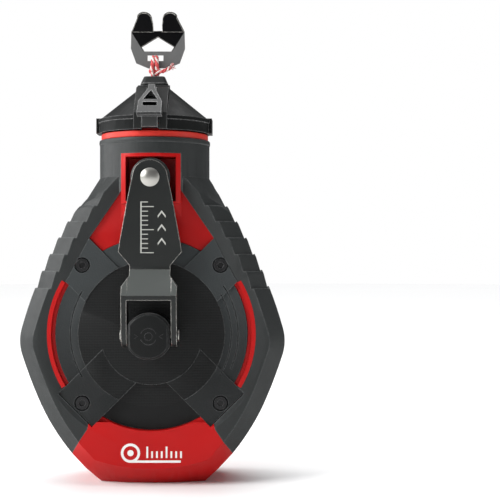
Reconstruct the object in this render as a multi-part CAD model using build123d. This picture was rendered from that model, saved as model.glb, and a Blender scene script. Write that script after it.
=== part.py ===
"""Chalk line reel: a hand-cranked, geared reel that pulls a string through coloured chalk.

The reel stands upright on its red foot. +Z is up, the crank side faces -Y and +X is to the
right of someone facing the crank. The origin is the middle of the foot's flat underside.
All sizes are in millimetres.
"""

from build123d import *
import os
from math import acos, cos, pi, radians, sin, sqrt, tan

# ---------------------------------------------------------------- driving dimensions
AXIS_Z = 58.3            # height of the spool and crank axis above the foot
FRONT_Y = -18.0          # front face of the rubber and of the foot
BACK_Y = 21.0            # rear face
NECK_R = 21.8            # round neck, over the rubber
NECK_TOP = 133.9         # rim of the rubber round the neck
RUBBER = 2.4             # thickness of the overmoulded rubber
EDGE = 6.0               # bevel along the housing's long edges
FOOT_FLAT = 20.4         # half width of the foot's flat underside

COVER_R = 37.2           # gear cover, between its four arms
COVER_FRONT = -17.0      # outer face of the cover's arms
ARM_HALF = 9.1           # half width of each diagonal arm of the cover
UPPER_ARM = 46           # reach of the arms from the axis, cut short by the window's edge
LOWER_ARM = 41.2
WINDOW_R = 38.8          # round openings in the rubber, front and rear
SCREW_AT = 26.6          # cover screws, across and up from the axis

MODULE = 0.8             # gear module
SUN_TEETH = 10
PLANET_TEETH = 20
RING_TEETH = SUN_TEETH + 2 * PLANET_TEETH
BACKLASH = 0.08          # thinning of each tooth at the pitch circle
ADDENDUM = 0.95          # in modules
DEDENDUM = 1.15          # in modules
PRESSURE = radians(20)   # pressure angle
PLANETS = 3
CARRIER_R = MODULE * (SUN_TEETH + PLANET_TEETH) / 2

SPOOL_R = 34.5           # spool flanges
DRUM_R = 12.0            # core of the spool
WINDING_R = 31.0         # outside of the wound line
AXLE_R = 2.0             # steel axle that the spool runs on
RUN = 0.06               # radial running clearance of shafts and pins
CLEAR = 40               # how far in front and behind a cut runs, past the whole reel
WHOLE = 60               # a radius that takes in the whole belly

HINGE_Y = -23.5          # crank fold axis, through the hub
RIVET_Z = 118.4          # knob rivet when the crank is folded up
STEEL = 1.3              # thickness of the crank and hook plate
PLATE_FRONT = -23.3      # front face of the crank's flat part

LINE_R = 0.8             # chalk line
NOSE_TOP = 159.6         # tip of the fill door
DOOR_HINGE = (22.6, 139.0)   # Y and Z of the fill door's hinge pin
LATCH_PIVOT = (-13.2, 150.9)  # Y and Z of the latch's pin
DOOR_PIN_R = 1.1
LUG_IN = 6.4             # inner and outer faces of the hinge lugs
LUG_OUT = 10.4
LATCH_PIN_R = 0.8
THROAT_Z = 121.5         # where the line from the spool meets the line through the door

PARTS = {}


def piece(function):
    """Keep what a function models under the function's own name."""
    PARTS[function.__name__] = function()
    return function


# ---------------------------------------------------------------- drawing helpers
def front_plane(y):
    """A plane seen from the front: across is X, up is Z, and it faces -Y."""
    return Plane(origin=(0, y, 0), x_dir=(1, 0, 0), z_dir=(0, -1, 0))


def slab(sketch, back, front):
    """A front-view outline given thickness from y = back forward to y = front."""
    return extrude(front_plane(back) * sketch, back - front)


def across(points, half_width):
    """A side-view outline of (y, z) points, extruded to both sides of x = 0."""
    side = Plane(origin=(0, 0, 0), x_dir=(0, 1, 0), z_dir=(1, 0, 0))
    return extrude(side * outline(points), half_width, both=True)


def outline(points):
    """A closed straight-sided face through the points."""
    return make_face(Polyline(*points, close=True))


def rod_y(x, z, radius, back, front):
    """A cylinder along Y."""
    return slab(Pos(x, z) * Circle(radius), back, front)


def rod_x(y, z, radius, left, right):
    """A cylinder along X."""
    middle = Pos((left + right) / 2, y, z)
    return middle * Rot(0, 90, 0) * Cylinder(radius, right - left)


def disc(radius, low, high):
    """A cylinder along Z, from z = low to z = high."""
    return Pos(0, 0, (low + high) / 2) * Cylinder(radius, high - low)


def tube(start, end, radius):
    """A straight round bar between two points."""
    path = Line(start, end)
    return sweep(Plane(origin=start, z_dir=path % 0) * Circle(radius), path=path)


def on_axis(sketch):
    """Move a sketch drawn about the origin to the spool axis."""
    return Pos(0, AXIS_Z) * sketch


def corners(distance):
    """The four (x, z) places that far across and up or down from the spool axis."""
    return [(x, AXIS_Z + z) for x in (-distance, distance) for z in (-distance, distance)]


def between(low, high, solid):
    """The part of a solid from x = low to x = high."""
    middle = Pos((low + high) / 2, 0, 80)
    return solid & middle * Box(high - low, 200, 300)


# ---------------------------------------------------------------- outer forms
def mirrored(right_curves):
    """Close a right-hand half outline with its mirror image."""
    right = Curve() + right_curves
    return make_face(right + mirror(right, Plane.YZ))


SHOULDER_ARC = ThreePointArc((26.0, 112.3), (41.4, 85.9), (50.9, 60.2))
WAIST_ARC = TangentArc(SHOULDER_ARC @ 1, (50.7, 50.0), tangent=SHOULDER_ARC % 1)
FLANK_ARC = TangentArc(WAIST_ARC @ 1, (44.4, 33.1), tangent=WAIST_ARC % 1)
LOWER_ARC = TangentArc(FLANK_ARC @ 1, (31.2, 11.5), tangent=FLANK_ARC % 1)


def housing_outline(inset=0.0):
    """Front view of the housing: neck, swept shoulders, round belly and flat foot."""
    half = mirrored([
        Line((0, NECK_TOP), (NECK_R, NECK_TOP)),
        Line((NECK_R, NECK_TOP), (NECK_R, 122.5)),
        ThreePointArc((NECK_R, 122.5), (23.1, 117.1), (26.0, 112.3)),
        SHOULDER_ARC,
        WAIST_ARC,
        FLANK_ARC,
        LOWER_ARC,
        Line((31.2, 11.5), (FOOT_FLAT, 0)),
        Line((FOOT_FLAT, 0), (0, 0)),
    ])
    return offset(half, -inset) if inset else half


def body_form(inset=0.0):
    """The whole housing as one block, shrunk by inset: belly, foot and round neck."""
    front = FRONT_Y + inset
    back = BACK_Y - inset
    neck = NECK_R - inset
    belly = slab(housing_outline(inset), back, front)
    rims = belly.edges().filter_by(
        lambda e: abs(e.center().Y - front) < 0.01 or abs(e.center().Y - back) < 0.01)
    rims = [e for e in rims if abs(e.center().X) > 10 or e.center().Z < 10]
    belly = chamfer(rims, EDGE)
    profile = Plane.XZ * outline([
        (0, NECK_TOP), (neck, NECK_TOP), (neck, 119), (neck + 5, 111),
        (neck + 18, 98), (64, 78), (64, -1), (0, -1)])
    belly = belly & revolve(profile, Axis.Z)
    fairing = across([
        (-neck, NECK_TOP), (-neck, 114), (front, 103), (front, 96),
        (back, 96), (back, 103), (neck, 114), (neck, NECK_TOP)], 30)
    return belly + (disc(neck, 96, NECK_TOP) & fairing)


def pocket_frame():
    """Outline of the red surround of the knob pocket."""
    return Pos(0, 118.1) * Rectangle(22.8, 19.2)


def cover_arm(angle, reach):
    """One diagonal arm of the gear cover, seen from the front."""
    arm = Pos(reach / 2, 0) * Rectangle(reach, 2 * ARM_HALF)
    return Rot(0, 0, angle) * arm


def shoulder_outline():
    """The flat triangle between the neck and the gear cover."""
    right = [(0, 113.8), (11.4, 113.8), (24.0, 95.3), (32.8, 78.7), (0, 70)]
    left = [(-x, z) for x, z in reversed(right[1:4])]
    return outline(right + left)


def window_outline():
    """Front opening in the rubber, where the housing and gear cover show."""
    window = on_axis(Circle(WINDOW_R)) + shoulder_outline()
    window += Pos(0, 107) * Rectangle(22.8, 41.4)
    for angle in (-45, -135):
        window += on_axis(cover_arm(angle, LOWER_ARM + 0.2))
    return window


def foot_outline():
    """Front view of the foot, below the rubber and the gear cover."""
    right = [(24.0, 24.5), (24.5, 21.8), (31.4, 11.4), (40, 3), (40, -5)]
    left = [(-x, z) for x, z in reversed(right)]
    return outline(right + left)


# ---------------------------------------------------------------- inner spaces
MOUTH_R = 16.6           # bore of the fill mouth
SPIGOT_R = 18.4          # outside of the spigot that the fill door caps
SPIGOT_TOP = 139.6
PARTITION = (-7.5, -5.5)  # wall between the gears and the chalk, front and back
CHAMBER_BACK = 16.2
CHAMBER_R = 36.4
POCKET_HALF = 9.6        # knob pocket: half width, ceiling and depth
POCKET_TOP = 126.4
POCKET_BACK = -8.2


def chalk_space():
    """Hollow that holds the spool and the chalk, and rises to the fill mouth."""
    back, front = CHAMBER_BACK, PARTITION[1]
    chamber = rod_y(0, AXIS_Z, CHAMBER_R, back, front)
    throat = slab(outline([
        (-33, 70), (-24, 92), (-16.6, 108), (16.6, 108), (24, 92), (33, 70)]), back, front)
    mouth = disc(MOUTH_R, 106, SPIGOT_TOP + 1) & across([
        (front, 106), (front, 129.6), (-18, 129.6), (-18, 141), (18, 141), (18, 106)], 20)
    return chamber + throat + mouth


def knob_pocket():
    """Recess in the neck for the folded crank's knob."""
    sides = [(-POCKET_HALF, 109.4), (POCKET_HALF, 109.4),
             (POCKET_HALF, POCKET_TOP), (-POCKET_HALF, POCKET_TOP)]
    return slab(outline(sides), POCKET_BACK, -26)


# ---------------------------------------------------------------- housing
SHELL_FORM = body_form(RUBBER)
BODY_FORM = body_form()
FRONT_HALF = Pos(0, -50, 80) * Box(200, 100, 200)
BACK_HALF = Pos(0, 50, 80) * Box(200, 100, 200)
RIGHT_HALF = Pos(50, 0, 80) * Box(100, 200, 200)
RUBBER_SKIN = BODY_FORM - SHELL_FORM
WINDOW = slab(window_outline(), 0, -CLEAR)
REAR_WINDOW = slab(on_axis(Circle(WINDOW_R)), CLEAR, 12)
FOOT_ZONE = slab(foot_outline(), CLEAR, -CLEAR)
FACE_Y = -15.4           # red face between the rubber and the gear cover
COVER_SEAT = -13.8       # floor that the gear cover lies on
GEAR_CASE_R = 23.6
REAR_PLATE_Y = 20.2
AXLE_BOSS = (4.6, 15.3)  # radius and front end of the boss that holds the axle
HOUSING_SCREWS = [(-30.5, 84.5), (30.5, 84.5), (-27.5, 28.0), (27.5, 28.0)]
SCREW_SHANK = 1.25
SCREW_HEAD = 2.5
HEAD_DEEP = 1.4
SOCKET_DEEP = 0.9
SOCKET_R = 1.35
SINK_R = 3.05            # counterbores in the cover for the screw heads
SINK_FLOOR = -15.3
COVER_SCREW_TIP = -6.6
REAR_SCREW_SEAT = 17.2
FOOT_BOW_R = 60.0        # plan radius of the foot's lower front edge
FOOT_EDGE_Y = -11.4      # where that edge is in the middle, at the floor


def foot_bow():
    """Cone that bows the lower front of the foot outward in the middle."""
    centre_y = FOOT_EDGE_Y + FOOT_BOW_R
    rise = 40.0
    cone = Cone(FOOT_BOW_R, FOOT_BOW_R + rise, rise, align=(Align.CENTER, Align.CENTER, Align.MIN))
    return Pos(0, centre_y, 0) * cone


@piece
def front_shell():
    """Red front half of the moulded housing, with the foot, shoulders and pocket."""
    foot = BODY_FORM & FOOT_ZONE & foot_bow()
    face = (BODY_FORM & WINDOW) - slab(on_axis(Circle(WHOLE)), FACE_Y, -CLEAR)
    frame = disc(NECK_R + 0.2, 100, 127.7) & slab(pocket_frame(), 0, -CLEAR)
    solid = SHELL_FORM + foot + face + frame + disc(SPIGOT_R, 130, SPIGOT_TOP)
    solid = solid & FRONT_HALF
    solid -= chalk_space()
    solid -= rod_y(0, AXIS_Z, COVER_R, COVER_SEAT, -CLEAR)
    for angle in (45, 135, -45, -135):
        solid -= slab(on_axis(cover_arm(angle, UPPER_ARM)), COVER_SEAT, -CLEAR) & WINDOW
    solid -= rod_y(0, AXIS_Z, GEAR_CASE_R, PARTITION[0], -CLEAR)
    solid -= rod_y(0, AXIS_Z, 9.0, 0, -CLEAR)
    solid -= knob_pocket()
    for x, z in corners(SCREW_AT):
        solid -= rod_y(x, z, SCREW_SHANK, COVER_SCREW_TIP + 0.2, -CLEAR)
    for x, z in HOUSING_SCREWS:
        solid -= rod_y(x, z, SCREW_SHANK, 1, -4.2)
    return solid


def door_lugs():
    """Two lugs behind the neck that carry the fill door's hinge pin."""
    y, z = DOOR_HINGE
    side = across([(17.5, 124), (21.8, 124), (25.0, 130), (25.0, z), (y - 0.8, z),
                   (21.8, NECK_TOP), (17.5, NECK_TOP)], LUG_OUT)
    side += rod_x(y, z, 2.4, -LUG_OUT, LUG_OUT)
    return between(-LUG_OUT, -LUG_IN, side) + between(LUG_IN, LUG_OUT, side)


@piece
def rear_shell():
    """Red rear half of the moulded housing, with the axle boss and door hinge lugs."""
    foot = BODY_FORM & FOOT_ZONE
    plate = (BODY_FORM & REAR_WINDOW) - rod_y(0, AXIS_Z, WHOLE, CLEAR, REAR_PLATE_Y)
    solid = SHELL_FORM + foot + plate + disc(SPIGOT_R, 130, SPIGOT_TOP)
    solid = solid & BACK_HALF
    solid -= chalk_space()
    radius, end = AXLE_BOSS
    solid += rod_y(0, AXIS_Z, radius, CHAMBER_BACK + 1, end)
    solid += door_lugs()
    solid -= rod_x(*DOOR_HINGE, DOOR_PIN_R, -12, 12)
    solid -= rod_y(0, AXIS_Z, AXLE_R, 19, 0)
    for x, z in HOUSING_SCREWS:
        solid -= rod_y(x, z, SCREW_SHANK, 20, -1)
        solid -= rod_y(x, z, SCREW_HEAD + 0.5, CLEAR, REAR_SCREW_SEAT)
    return solid


BEVEL_WIDE = 4.6         # slope from the rubber's outer band down to the window
BEVEL_DEEP = 1.4
RIBS = 6                 # saw-tooth ribs down each shoulder
FIRST_RIB = 0.09         # share of the shoulder's arc above the first rib
RIB_STEP = 0.125
RIB_DEEP = 0.8
RIB_LONG = 7.0


def window_bevel():
    """Sloping edge of the rubber round the window and up both shoulders."""
    low = FRONT_Y + BEVEL_DEEP
    ring = loft([front_plane(low) * on_axis(Circle(WINDOW_R)),
                 front_plane(FRONT_Y) * on_axis(Circle(WINDOW_R + BEVEL_WIDE))])
    wide = offset(shoulder_outline(), BEVEL_WIDE, kind=Kind.INTERSECTION)
    shoulders = loft([front_plane(low) * shoulder_outline(), front_plane(FRONT_Y) * wide])
    return ring + shoulders


def rib_cut(share, face_y, edge_y):
    """Wedge that leaves a lip across the right shoulder's chamfer and side wall."""
    x, z, _ = SHOULDER_ARC @ share
    down_x, down_z, _ = SHOULDER_ARC % share
    edge = Vector(x, edge_y, z)
    up = Vector(-down_x, 0, -down_z)
    outward = Vector(-down_z, 0, down_x)
    toward_face = Vector(0, face_y - edge_y, 0).normalized()
    slope = (toward_face - outward).normalized()
    chamfer_normal = (toward_face + outward).normalized()
    level = slope - up * (slope.Z / up.Z)
    cuts = []
    for normal, run, length in ((chamfer_normal, level, 14), (outward, -toward_face, 16)):
        start = edge - run * (0.5 if normal is chamfer_normal else 1.0)
        tooth = make_face(Polyline(
            start + normal, start - normal * RIB_DEEP, start + up * RIB_LONG,
            start + up * RIB_LONG + normal, close=True))
        cuts.append(extrude(tooth, length, dir=run))
    return cuts


def ribbed(rubber, face_y, edge_y):
    """One half of the rubber with its ribs cut, worked on the right side and mirrored."""
    right = largest(rubber & RIGHT_HALF)
    for number in range(RIBS):
        for cut in rib_cut(FIRST_RIB + number * RIB_STEP, face_y, edge_y):
            right -= cut
    return right + mirror(right, Plane.YZ)


def largest(solids):
    """The biggest solid of several, without the slivers beside it."""
    return max(solids.solids(), key=lambda solid: solid.volume)


@piece
def front_grip():
    """Black rubber moulded over the front half, round the neck and down both sides."""
    rubber = (RUBBER_SKIN & FRONT_HALF) - WINDOW - FOOT_ZONE - window_bevel()
    return ribbed(rubber, FRONT_Y, FRONT_Y + EDGE)


@piece
def rear_grip():
    """Black rubber moulded over the rear half, open at a round window."""
    rubber = (RUBBER_SKIN & BACK_HALF) - REAR_WINDOW - FOOT_ZONE - door_lugs()
    solid = ribbed(rubber, BACK_Y, BACK_Y - EDGE)
    for x, z in HOUSING_SCREWS:
        solid -= rod_y(x, z, SCREW_HEAD + 0.5, CLEAR, 0)
    return solid


def screw(x, z, face, tip):
    """Flat-headed socket screw along Y, its head at face and its end at tip."""
    toward = 1 if face > tip else -1
    seat = face - toward * HEAD_DEEP
    head = rod_y(x, z, SCREW_HEAD, max(seat, face), min(seat, face))
    shank = rod_y(x, z, SCREW_SHANK, max(seat, tip), min(seat, tip))
    floor = face - toward * SOCKET_DEEP
    socket = slab(Pos(x, z) * RegularPolygon(SOCKET_R, 6), max(face, floor), min(face, floor))
    return head + shank - socket


@piece
def cover_screws():
    """Four screws that hold the gear cover."""
    return Compound(children=[screw(x, z, SINK_FLOOR - HEAD_DEEP, COVER_SCREW_TIP) for x, z in corners(SCREW_AT)])


@piece
def housing_screws():
    """Four screws from the rear that hold the two shells together."""
    return Compound(children=[screw(x, z, REAR_SCREW_SEAT + HEAD_DEEP, -4.0) for x, z in HOUSING_SCREWS])


# ---------------------------------------------------------------- gear cover
DIAL_R = 28.3            # raised, finely textured middle of the cover
RING_FRONT = -16.2       # outer ring of the cover, between the arms
DIAL_FRONT = -16.6
VALLEY_R = 19.6          # inner end of the sunk part between the lower arms
VALLEY_FLOOR = -15.0
GROOVES = [(148, 212, 31.0), (-30, 30, 30.6), (-24, 34, 33.2)]  # from, to, radius
GROOVE_WIDE = 0.45
GROOVE_FLOOR = -15.8
BUSHING_R = 7.0
SHAFT_R = 4.0            # crank shaft


def sector(start, end, inner, outer):
    """A piece of a flat ring about the origin, between two angles."""
    middle = radians((start + end) / 2)
    spread = radians(end - start) / 2
    reach = outer / cos(spread) * 1.2
    corner_a = (reach * cos(middle - spread), reach * sin(middle - spread))
    corner_b = (reach * cos(middle + spread), reach * sin(middle + spread))
    wedge = outline([(0, 0), corner_a, corner_b])
    return (Circle(outer) - Circle(inner)) & wedge


def sum_arms():
    """All four diagonal arms of the cover."""
    arms = cover_arm(45, UPPER_ARM) + cover_arm(135, UPPER_ARM)
    return arms + cover_arm(-45, LOWER_ARM) + cover_arm(-135, LOWER_ARM)


@piece
def gear_cover():
    """Black cover over the gears: a disc with four diagonal arms and a raised dial."""
    back = COVER_SEAT - 0.05
    solid = rod_y(0, AXIS_Z, COVER_R - 0.2, back, RING_FRONT)
    arms = slab(on_axis(sum_arms()), back, COVER_FRONT) & WINDOW
    solid += arms - rod_y(0, AXIS_Z, DIAL_R, 0, -CLEAR)
    solid += rod_y(0, AXIS_Z, DIAL_R, back, DIAL_FRONT)
    for angle in (-45, -135):
        ridge = cover_arm(angle, DIAL_R + 1) - Circle(VALLEY_R)
        solid += slab(on_axis(ridge), DIAL_FRONT, DIAL_FRONT - 0.2)
    valley = sector(-125, -55, VALLEY_R, COVER_R)
    valley = valley - cover_arm(-45, UPPER_ARM) - cover_arm(-135, UPPER_ARM)
    solid -= slab(on_axis(valley), VALLEY_FLOOR, -CLEAR)
    for start, end, radius in GROOVES:
        groove = sector(start, end, radius, radius + GROOVE_WIDE)
        solid -= slab(on_axis(groove), GROOVE_FLOOR, -CLEAR)
    solid -= rod_y(0, AXIS_Z, BUSHING_R, 0, -CLEAR)
    for x, z in corners(SCREW_AT):
        solid -= rod_y(x, z, SINK_R, SINK_FLOOR, -CLEAR)
        solid -= rod_y(x, z, SCREW_SHANK, 0, -CLEAR)
    return solid


@piece
def crank_bushing():
    """Bronze bush in the cover that the crank shaft turns in."""
    return slab(on_axis(Circle(BUSHING_R) - Circle(SHAFT_R + RUN)), COVER_SEAT, -17.1)


# ---------------------------------------------------------------- gears
GEAR_SPAN = (-7.9, -10.6)   # back and front of the sun and planet gears
SUN_SPAN = (-7.7, -10.7)
RING_SPAN = (PARTITION[0], -11.0)
JOURNAL_R = 4.3             # spool journal in the partition
KEY_R = 3.0                 # hexagonal key of the sun gear in the spool, across corners / 2
KEY_END = -5.2
SLEEVE_R = 9.0              # outside of the bush and seal in the partition


def gear_outline(teeth, addendum, dedendum, backlash):
    """Involute teeth about the origin, the first one centred on the X axis."""
    pitch = MODULE * teeth / 2
    base = pitch * cos(PRESSURE)
    tip = pitch + MODULE * addendum
    root = pitch - MODULE * dedendum
    start = max(base, root)
    pitch_turn = tan(PRESSURE) - PRESSURE
    half_tooth = pi / 2 / teeth - backlash / 2 / pitch
    flank = []
    steps = 4
    for step in range(steps + 1):
        radius = start + (tip - start) * step / steps
        roll = acos(min(1, base / radius))
        flank.append((radius, half_tooth + pitch_turn - (tan(roll) - roll)))
    if root < base:
        flank.insert(0, (root, flank[0][1]))
    points = []
    for tooth in range(teeth):
        centre = 2 * pi * tooth / teeth
        points += [(r * cos(centre - a), r * sin(centre - a)) for r, a in flank]
        points += [(r * cos(centre + a), r * sin(centre + a)) for r, a in reversed(flank)]
    return outline(points)


@piece
def ring_gear():
    """Fixed internal gear, its teeth the spaces of an outline of the same pitch."""
    spaces = gear_outline(RING_TEETH, DEDENDUM, ADDENDUM, -BACKLASH)
    half_pitch = 180 / RING_TEETH
    ring = Circle(GEAR_CASE_R - 0.1) - Rot(0, 0, half_pitch) * spaces
    return slab(on_axis(ring), *RING_SPAN)


@piece
def sun_gear():
    """Steel pinion keyed into the spool by a hexagonal stub."""
    teeth = gear_outline(SUN_TEETH, ADDENDUM, DEDENDUM, BACKLASH)
    solid = slab(on_axis(teeth), *SUN_SPAN)
    solid += slab(on_axis(RegularPolygon(KEY_R, 6)), KEY_END, SUN_SPAN[0])
    return solid - rod_y(0, AXIS_Z, AXLE_R + RUN, 0, -20)


def planet_angle(number):
    """Where a planet stands round the axis, in degrees from +X."""
    return 90 + 360 / PLANETS * number


def planet_place(number):
    """A planet's centre, as (x, z)."""
    angle = radians(planet_angle(number))
    return CARRIER_R * cos(angle), AXIS_Z + CARRIER_R * sin(angle)


PIN_R = 1.2              # planet pins


def planet_gear(number):
    """A planet, turned so that its teeth mesh with the sun and the ring."""
    half_pitch = 180 / PLANET_TEETH
    turn = half_pitch + planet_angle(number) * (1 + SUN_TEETH / PLANET_TEETH)
    teeth = gear_outline(PLANET_TEETH, ADDENDUM, DEDENDUM, BACKLASH)
    web = teeth - Circle(PIN_R + RUN)
    return slab(Pos(*planet_place(number)) * Rot(0, 0, turn) * web, *GEAR_SPAN)


for number in range(PLANETS):
    PARTS[f"planet_gear_{number + 1}"] = planet_gear(number)

CARRIER_SPAN = (-10.8, -12.0)
DOG_RING = (5.2, 7.8)    # inner and outer radius of the clutch dogs
DOGS = 6


def dogs(offset):
    """A ring of clutch dogs, seen from the front."""
    teeth = Sketch()
    for tooth in range(DOGS):
        centre = offset + tooth * 360 / DOGS
        teeth += sector(centre - 13, centre + 13, *DOG_RING)
    return on_axis(teeth)


@piece
def planet_carrier():
    """Three-armed plate that carries the planets, with clutch dogs on its front."""
    plate = Circle(9.0)
    for number in range(PLANETS):
        arm = Pos(CARRIER_R / 2, 0) * Rectangle(CARRIER_R, 6) + Pos(CARRIER_R, 0) * Circle(3)
        plate += Rot(0, 0, planet_angle(number)) * arm
    solid = slab(on_axis(plate), *CARRIER_SPAN) + slab(dogs(0), CARRIER_SPAN[1], -12.5)
    for number in range(PLANETS):
        solid -= rod_y(*planet_place(number), PIN_R, 0, -20)
    return solid - rod_y(0, AXIS_Z, AXLE_R + RUN, 0, -20)


@piece
def planet_pins():
    """Three steel pins pressed into the carrier."""
    pins = [rod_y(*planet_place(number), PIN_R, GEAR_SPAN[0] + 0.2, CARRIER_SPAN[1])
            for number in range(PLANETS)]
    return Compound(children=pins)


@piece
def shaft_bushing():
    """Nylon bush in the partition that the spool journal turns in."""
    return slab(on_axis(Circle(SLEEVE_R) - Circle(JOURNAL_R + RUN)), PARTITION[1], PARTITION[0])


@piece
def chalk_seal():
    """Felt ring that keeps chalk out of the gears."""
    return slab(on_axis(Circle(SLEEVE_R) - Circle(JOURNAL_R + RUN)), -4.5, PARTITION[1])


@piece
def spool_axle():
    """Steel pin, pressed into the rear shell, that the spool and gears run on."""
    return rod_y(0, AXIS_Z, AXLE_R, 19, -12.6)


@piece
def axle_clip():
    """Clip on the front end of the axle."""
    ring = Circle(3.4) - Circle(AXLE_R) - Pos(0, -2.5) * Rectangle(2.2, 3)
    return slab(on_axis(ring), -12.1, -12.5)


@piece
def thrust_washer():
    """Washer between the spool and the axle boss."""
    return slab(on_axis(Circle(5.6) - Circle(AXLE_R)), 15.25, 14.97)


# ---------------------------------------------------------------- spool and line
FRONT_FLANGE = (-3.0, -4.3)
REAR_FLANGE = (14.9, 13.6)


@piece
def spool():
    """Nylon spool: two flanges with chalk holes, a core and a journal with a hex socket."""
    flange = Circle(SPOOL_R)
    for hole in range(6):
        flange -= Rot(0, 0, 60 * hole + 30) * Pos(22, 0) * Circle(5)
    solid = slab(on_axis(flange), *FRONT_FLANGE) + slab(on_axis(flange), *REAR_FLANGE)
    solid += rod_y(0, AXIS_Z, DRUM_R, REAR_FLANGE[0], FRONT_FLANGE[1])
    solid += rod_y(0, AXIS_Z, JOURNAL_R, FRONT_FLANGE[1], -7.6)
    solid -= slab(on_axis(RegularPolygon(KEY_R, 6)), KEY_END, -8)
    return solid - rod_y(0, AXIS_Z, AXLE_R + RUN, 20, -20)


@piece
def line_winding():
    """The wound line, as one ring between the flanges."""
    ring = Circle(WINDING_R) - Circle(DRUM_R)
    return slab(on_axis(ring), REAR_FLANGE[1] - 0.05, FRONT_FLANGE[0] + 0.05)


@piece
def line_run():
    """The line from the spool up to the throat."""
    reach = THROAT_Z - AXIS_Z
    radius = WINDING_R + LINE_R + 0.4
    up = radius / reach
    start = (radius * sqrt(1 - up * up), 5.3, AXIS_Z + radius * up)
    return tube(start, (0, 0, THROAT_Z - 0.6), LINE_R)


@piece
def line_lead():
    """The line from the throat through the nose to the knot at the hook."""
    return disc(LINE_R, THROAT_Z, 161.0)


# ---------------------------------------------------------------- crank
HUB_R = 8.85
HUB_HALF = 7.8           # flats on the hub and button, between the crank's ears
HUB_FRONT = -26.6
BUTTON_FRONT = -29.5
STEM_R = 4.2             # button stem
SPRING_BORE = 2.9
CLUTCH_SPAN = (-12.8, -13.7)
HINGE_PIN_R = 1.25
HINGE_HEAD_R = 2.3
EAR_R = 4.3              # rounded end of the crank's ears
RIVET_R = 1.5            # shank of the knob rivet
RIVET_DOME_R = 3.6
RIVET_RISE = 1.2


def hub_outline():
    """The hub seen from the front: round, with a flat on each side."""
    return on_axis(Circle(HUB_R) & Rectangle(2 * HUB_HALF, 2 * HUB_R))


@piece
def crank_hub():
    """Black hub and shaft that the crank folds on."""
    solid = slab(hub_outline(), -17.2, HUB_FRONT)
    solid += rod_y(0, AXIS_Z, SHAFT_R, CLUTCH_SPAN[1], -17.2)
    solid -= rod_y(0, AXIS_Z, STEM_R + RUN, -20.0, -CLEAR)
    solid -= rod_y(0, AXIS_Z, SPRING_BORE, -16.0, -CLEAR)
    return solid - rod_x(HINGE_Y, AXIS_Z, HINGE_PIN_R, -12, 12)


@piece
def clutch_plate():
    """Dog clutch on the inner end of the crank shaft, held clear of the carrier."""
    solid = slab(on_axis(Circle(8.4)), -13.3, CLUTCH_SPAN[1])
    return solid + slab(dogs(180 / DOGS), CLUTCH_SPAN[0], -13.3)


@piece
def hinge_pins():
    """Two headed pins that join the crank's ears to the hub."""
    pins = []
    for side in (-1, 1):
        inner, seat, outer = side * 4.6, side * 10.6, side * 11.2
        shank = rod_x(HINGE_Y, AXIS_Z, HINGE_PIN_R, *sorted((inner, seat)))
        head = rod_x(HINGE_Y, AXIS_Z, HINGE_HEAD_R, *sorted((seat, outer)))
        pins.append(shank + head)
    return Compound(children=pins)


@piece
def push_button():
    """Clutch button: a flat-sided cap on a stem."""
    cap = slab(hub_outline(), HUB_FRONT - 1.9, BUTTON_FRONT)
    cap = chamfer(cap.edges().group_by(Axis.Y)[0], 0.8)
    stem = rod_y(0, AXIS_Z, STEM_R, -22.0, HUB_FRONT - 1.9)
    return cap + stem


@piece
def button_spring():
    """Spring behind the button's stem, as a plain sleeve."""
    return slab(on_axis(Circle(2.7) - Circle(2.1)), -16.1, -21.9)


EARS = (8.3, 10.5)       # inner and outer faces of the crank's side ears


@piece
def crank_arm():
    """Bent steel crank: a tapered plate, a ramp over the hub and two side ears."""
    half = [(6.6, 119.4), (8.2, 112), (11.5, 94), (12.1, 90), (7.8, 84.9), (7.8, 82.9)]
    flat = outline([(-x, z) for x, z in half] + half[::-1])
    flat += Pos(0, RIVET_Z) * Circle(6.7)
    solid = slab(flat, PLATE_FRONT + STEEL, PLATE_FRONT)
    ramp_side = [(-23.3, 83.3), (-29.2, 73.6), (-29.2, 71.8),
                 (-27.9, 71.8), (-27.9, 73.2), (-22.0, 82.9)]
    ramp_half = [(7.8, 84.0), (7.8, 80.9), (EARS[1], 77.0), (EARS[1], 71.8)]
    ramp_front = outline([(-x, z) for x, z in ramp_half] + ramp_half[::-1])
    solid += across(ramp_side, 12) & slab(ramp_front, 0, -CLEAR)
    ear = across([(-22.0, 80.4), (-21.4, 72), (HINGE_Y + EAR_R, AXIS_Z), (HINGE_Y - EAR_R, AXIS_Z),
                  (-29.2, 71.8), (-29.2, 73.6), (-25.4, 80.4)], 12)
    ear += rod_x(HINGE_Y, AXIS_Z, EAR_R, -12, 12)
    ear = ear & slab(Pos(0, 66) * Rectangle(40, 29), 0, -CLEAR)
    trim = slab(ramp_front + Pos(0, 62) * Rectangle(2 * EARS[1], 19.6), 0, -CLEAR)
    ear = ear & trim
    solid += between(-EARS[1], -EARS[0], ear) + between(EARS[0], EARS[1], ear)
    solid -= rod_x(HINGE_Y, AXIS_Z, HINGE_PIN_R + RUN, -12, 12)
    return solid - rod_y(0, RIVET_Z, RIVET_R, 0, -CLEAR)


@piece
def knob_rivet():
    """Domed rivet that the knob spins on."""
    ball = (RIVET_DOME_R ** 2 + RIVET_RISE ** 2) / (2 * RIVET_RISE)
    dome = Pos(0, PLATE_FRONT - RIVET_RISE + ball, RIVET_Z) * Sphere(ball)
    solid = rod_y(0, RIVET_Z, RIVET_DOME_R, PLATE_FRONT, PLATE_FRONT - RIVET_RISE) & dome
    solid += rod_y(0, RIVET_Z, RIVET_R, -12.4, PLATE_FRONT)
    return solid + rod_y(0, RIVET_Z, 2.6, -11.6, -12.4)


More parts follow.
